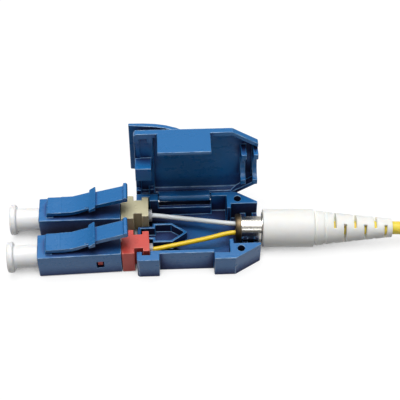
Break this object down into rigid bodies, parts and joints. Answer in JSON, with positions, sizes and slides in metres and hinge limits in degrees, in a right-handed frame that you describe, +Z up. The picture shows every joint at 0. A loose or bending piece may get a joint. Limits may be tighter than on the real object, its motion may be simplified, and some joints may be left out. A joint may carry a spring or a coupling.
{
  "type": "fibre optic patch connector",
  "caption": "LC duplex uniboot fibre connector on a coiled patch cord, hinged housing open, latched plugs with dust caps, coloured rear bodies, slotted boot.",
  "frame": {"origin": "centre of the open housing tray's underside", "axes": "+X from the plugs towards the boot and cable; +Y towards the hinge side; +Z up out of the open tray"},
  "size_m": [0.1919, 0.0196, 0.0164],
  "materials": {
    "housing_blue": "satin moulded",
    "plug_blue": "satin moulded",
    "body_beige": "satin moulded",
    "body_red": "satin moulded",
    "cap_white": "satin moulded",
    "boot_white": "matte moulded",
    "ceramic": "polished ceramic",
    "nickel": "bright nickel plate",
    "spring_steel": "drawn wire",
    "sleeve_grey": "translucent",
    "tube_white": "satin extruded",
    "tube_yellow": "satin extruded",
    "cable_yellow": "satin extruded",
    "tie_black": "satin moulded"
  },
  "bodies": {
    "base": {"tray": "housing_blue", "crimp_post": "nickel", "crimp_sleeve": "nickel", "boot": "boot_white", "cable_end": "cable_yellow", "cable_hank": "cable_yellow", "cable_run_near": "cable_yellow", "cable_run_far": "cable_yellow", "hank_tie_a": "tie_black", "hank_tie_b": "tie_black", "far_tray": "housing_blue", "far_lid": "housing_blue", "far_trigger": "housing_blue", "far_crimp_post": "nickel", "far_boot": "boot_white", "far_cable_end": "cable_yellow", "plug_housing_a": "plug_blue", "rear_body_a": "body_beige", "ferrule_spring_a": "spring_steel", "lead_sleeve_a": "sleeve_grey", "fibre_tube_a": "tube_white", "far_plug_a": "plug_blue", "far_rear_body_a": "body_beige", "far_dust_cap_a": "cap_white", "plug_housing_b": "plug_blue", "rear_body_b": "body_red", "ferrule_spring_b": "spring_steel", "lead_sleeve_b": "sleeve_grey", "fibre_tube_b": "tube_yellow", "far_plug_b": "plug_blue", "far_rear_body_b": "body_red", "far_dust_cap_b": "cap_white"},
    "lid": {"lid": "housing_blue"},
    "trigger": {"release_trigger": "housing_blue"},
    "latch_a": {"latch_lever_a": "plug_blue"},
    "ferrule_a": {"ferrule_a": "ceramic", "ferrule_holder_a": "nickel"},
    "cap_a": {"dust_cap_a": "cap_white"},
    "latch_b": {"latch_lever_b": "plug_blue"},
    "ferrule_b": {"ferrule_b": "ceramic", "ferrule_holder_b": "nickel"},
    "cap_b": {"dust_cap_b": "cap_white"}
  },
  "joints": [
    {"name": "lid_hinge", "type": "hinge", "parent": "base", "child": "lid", "pos_m": [0, 0.006, 0.00342], "axis": [1, 0, 0], "range_deg": [0, 95]},
    {"name": "trigger_press", "type": "hinge", "parent": "lid", "child": "trigger", "pos_m": [-0.00135, 0.00977, 0.00911], "axis": [0, 0.0872, 0.9962], "range_deg": [0, 5], "stiffness_Nm_per_rad": 0.02},
    {"name": "latch_a_press", "type": "hinge", "parent": "base", "child": "latch_a", "pos_m": [-0.02067, 0.00325, 0.00532], "axis": [-0.0052, 1, 0], "range_deg": [0, 8], "stiffness_Nm_per_rad": 0.01},
    {"name": "ferrule_a_slide", "type": "slide", "parent": "base", "child": "ferrule_a", "axis": [1, 0.0052, 0], "range_m": [0, 0.0008], "stiffness_N_per_m": 200, "deforming": ["ferrule_spring_a"]},
    {"name": "dust_cap_a_pull", "type": "slide", "parent": "base", "child": "cap_a", "axis": [-1, -0.0052, 0], "range_m": [0, 0.0075]},
    {"name": "latch_b_press", "type": "hinge", "parent": "base", "child": "latch_b", "pos_m": [-0.02059, -0.00376, 0.00532], "axis": [-0.0349, 0.9994, 0], "range_deg": [0, 8], "stiffness_Nm_per_rad": 0.01},
    {"name": "ferrule_b_slide", "type": "slide", "parent": "base", "child": "ferrule_b", "axis": [0.9994, 0.0349, 0], "range_m": [0, 0.0008], "stiffness_N_per_m": 200, "deforming": ["ferrule_spring_b"]},
    {"name": "dust_cap_b_pull", "type": "slide", "parent": "base", "child": "cap_b", "axis": [-0.9994, -0.0349, 0], "range_m": [0, 0.0075]}
  ]
}
